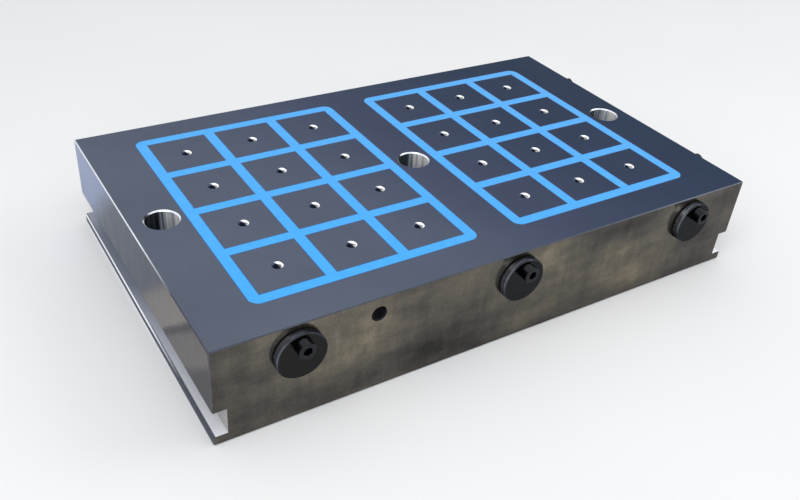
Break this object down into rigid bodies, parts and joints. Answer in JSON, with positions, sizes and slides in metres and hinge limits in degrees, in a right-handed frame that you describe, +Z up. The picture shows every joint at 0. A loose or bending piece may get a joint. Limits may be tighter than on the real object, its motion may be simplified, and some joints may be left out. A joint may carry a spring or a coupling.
{
  "type": "electro-permanent magnetic chuck",
  "caption": "Rectangular electro-permanent magnetic chuck: ground steel block with two fields of square poles in blue resin, round eccentric side stops, table bolt holes and clamp grooves.",
  "frame": {"origin": "on the flat underside, midway between the pole fields, on the axis of the middle table bolt", "axes": "+X along the length, +Y to the back, which carries the receptacle, +Z up to the work face"},
  "size_m": [0.5142, 0.3402, 0.083],
  "materials": {
    "ground_steel": "surface-ground mild steel, fine straight grinding lines",
    "pole_steel": "surface-ground mild steel pole faces",
    "blue_resin": "sky-blue casting resin ground flush",
    "cast_magnet": "cast AlNiCo, ground faces",
    "plated_magnet": "nickel-plated NdFeB",
    "enamelled_copper": "enamelled copper winding wire",
    "black_oxide_stop": "black oxide on turned steel",
    "black_oxide_screw": "black oxide on alloy steel screws",
    "cast_aluminium": "die-cast aluminium shell",
    "seal_rubber": "black sealing rubber",
    "insulator": "moulded insulating plastic",
    "contact_brass": "turned brass contacts",
    "zinc_screw": "zinc-plated steel"
  },
  "bodies": {
    "chuck": {"chuck_body": "ground_steel", "coils_left_row_1": "enamelled_copper", "coils_left_row_2": "enamelled_copper", "coils_left_row_3": "enamelled_copper", "coils_left_row_4": "enamelled_copper", "coils_right_row_1": "enamelled_copper", "coils_right_row_2": "enamelled_copper", "coils_right_row_3": "enamelled_copper", "coils_right_row_4": "enamelled_copper", "duct_plug": "zinc_screw", "magnet_cores_left_row_1": "cast_magnet", "magnet_cores_left_row_2": "cast_magnet", "magnet_cores_left_row_3": "cast_magnet", "magnet_cores_left_row_4": "cast_magnet", "magnet_cores_right_row_1": "cast_magnet", "magnet_cores_right_row_2": "cast_magnet", "magnet_cores_right_row_3": "cast_magnet", "magnet_cores_right_row_4": "cast_magnet", "pole_left_row_1_1": "pole_steel", "pole_left_row_1_2": "pole_steel", "pole_left_row_1_3": "pole_steel", "pole_left_row_2_1": "pole_steel", "pole_left_row_2_2": "pole_steel", "pole_left_row_2_3": "pole_steel", "pole_left_row_3_1": "pole_steel", "pole_left_row_3_2": "pole_steel", "pole_left_row_3_3": "pole_steel", "pole_left_row_4_1": "pole_steel", "pole_left_row_4_2": "pole_steel", "pole_left_row_4_3": "pole_steel", "pole_right_row_1_1": "pole_steel", "pole_right_row_1_2": "pole_steel", "pole_right_row_1_3": "pole_steel", "pole_right_row_2_1": "pole_steel", "pole_right_row_2_2": "pole_steel", "pole_right_row_2_3": "pole_steel", "pole_right_row_3_1": "pole_steel", "pole_right_row_3_2": "pole_steel", "pole_right_row_3_3": "pole_steel", "pole_right_row_4_1": "pole_steel", "pole_right_row_4_2": "pole_steel", "pole_right_row_4_3": "pole_steel", "pole_screws": "black_oxide_screw", "receptacle_contacts": "contact_brass", "receptacle_gasket": "seal_rubber", "receptacle_insert": "insulator", "receptacle_screws": "zinc_screw", "receptacle_shell": "cast_aluminium", "resin_left": "blue_resin", "resin_right": "blue_resin", "slab_magnets_left": "plated_magnet", "slab_magnets_right": "plated_magnet", "stop_screws": "black_oxide_screw"},
    "stop_end_back": {"stop_end_back": "black_oxide_stop"},
    "stop_end_front": {"stop_end_front": "black_oxide_stop"},
    "stop_front_left": {"stop_front_left": "black_oxide_stop"},
    "stop_front_middle": {"stop_front_middle": "black_oxide_stop"},
    "stop_front_right": {"stop_front_right": "black_oxide_stop"}
  },
  "joints": [
    {"name": "turn_end_back", "type": "hinge", "parent": "chuck", "child": "stop_end_back", "pos_m": [0.25, 0.093, 0.07], "axis": [1, 0, 0], "continuous": true},
    {"name": "turn_end_front", "type": "hinge", "parent": "chuck", "child": "stop_end_front", "pos_m": [0.25, -0.093, 0.07], "axis": [1, 0, 0], "continuous": true},
    {"name": "turn_front_left", "type": "hinge", "parent": "chuck", "child": "stop_front_left", "pos_m": [-0.1875, -0.155, 0.07], "axis": [0, -1, 0], "continuous": true},
    {"name": "turn_front_middle", "type": "hinge", "parent": "chuck", "child": "stop_front_middle", "pos_m": [0, -0.155, 0.07], "axis": [0, -1, 0], "continuous": true},
    {"name": "turn_front_right", "type": "hinge", "parent": "chuck", "child": "stop_front_right", "pos_m": [0.1875, -0.155, 0.07], "axis": [0, -1, 0], "continuous": true}
  ]
}
